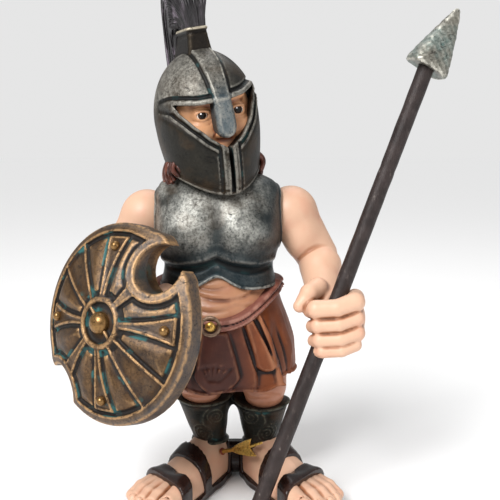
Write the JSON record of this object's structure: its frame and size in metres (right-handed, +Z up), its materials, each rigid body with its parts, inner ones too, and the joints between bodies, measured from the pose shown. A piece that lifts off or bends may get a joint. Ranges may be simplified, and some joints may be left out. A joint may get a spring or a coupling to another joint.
{
  "type": "achilles figure",
  "caption": "Hand-painted resin caricature figure of the hero Achilles in crested helmet, cuirass and kilt, with notched shield, spear and an arrow in the heel.",
  "frame": {"origin": "on the ground under the middle of the whole object's bounding box", "axes": "+Z up from the soles to the plume; the figure looks along -Y; +X is the side of the spear, to the viewer's right"},
  "size_m": [0.2126, 0.1152, 0.2735],
  "materials": {
    "painted_resin": "satin hand-painted resin in skin, metal and cloth tones",
    "bronze_paint": "dark bronze paint, dry-brushed copper and silver",
    "dark_iron_paint": "worn dark brown-black paint",
    "aged_bronze": "hammered silver-bronze paint",
    "gold_paint": "gold paint"
  },
  "bodies": {
    "root": {"figure": "painted_resin", "shield": "bronze_paint", "spear_shaft": "dark_iron_paint", "spearhead": "aged_bronze", "arrow": "gold_paint"}
  },
  "joints": []
}
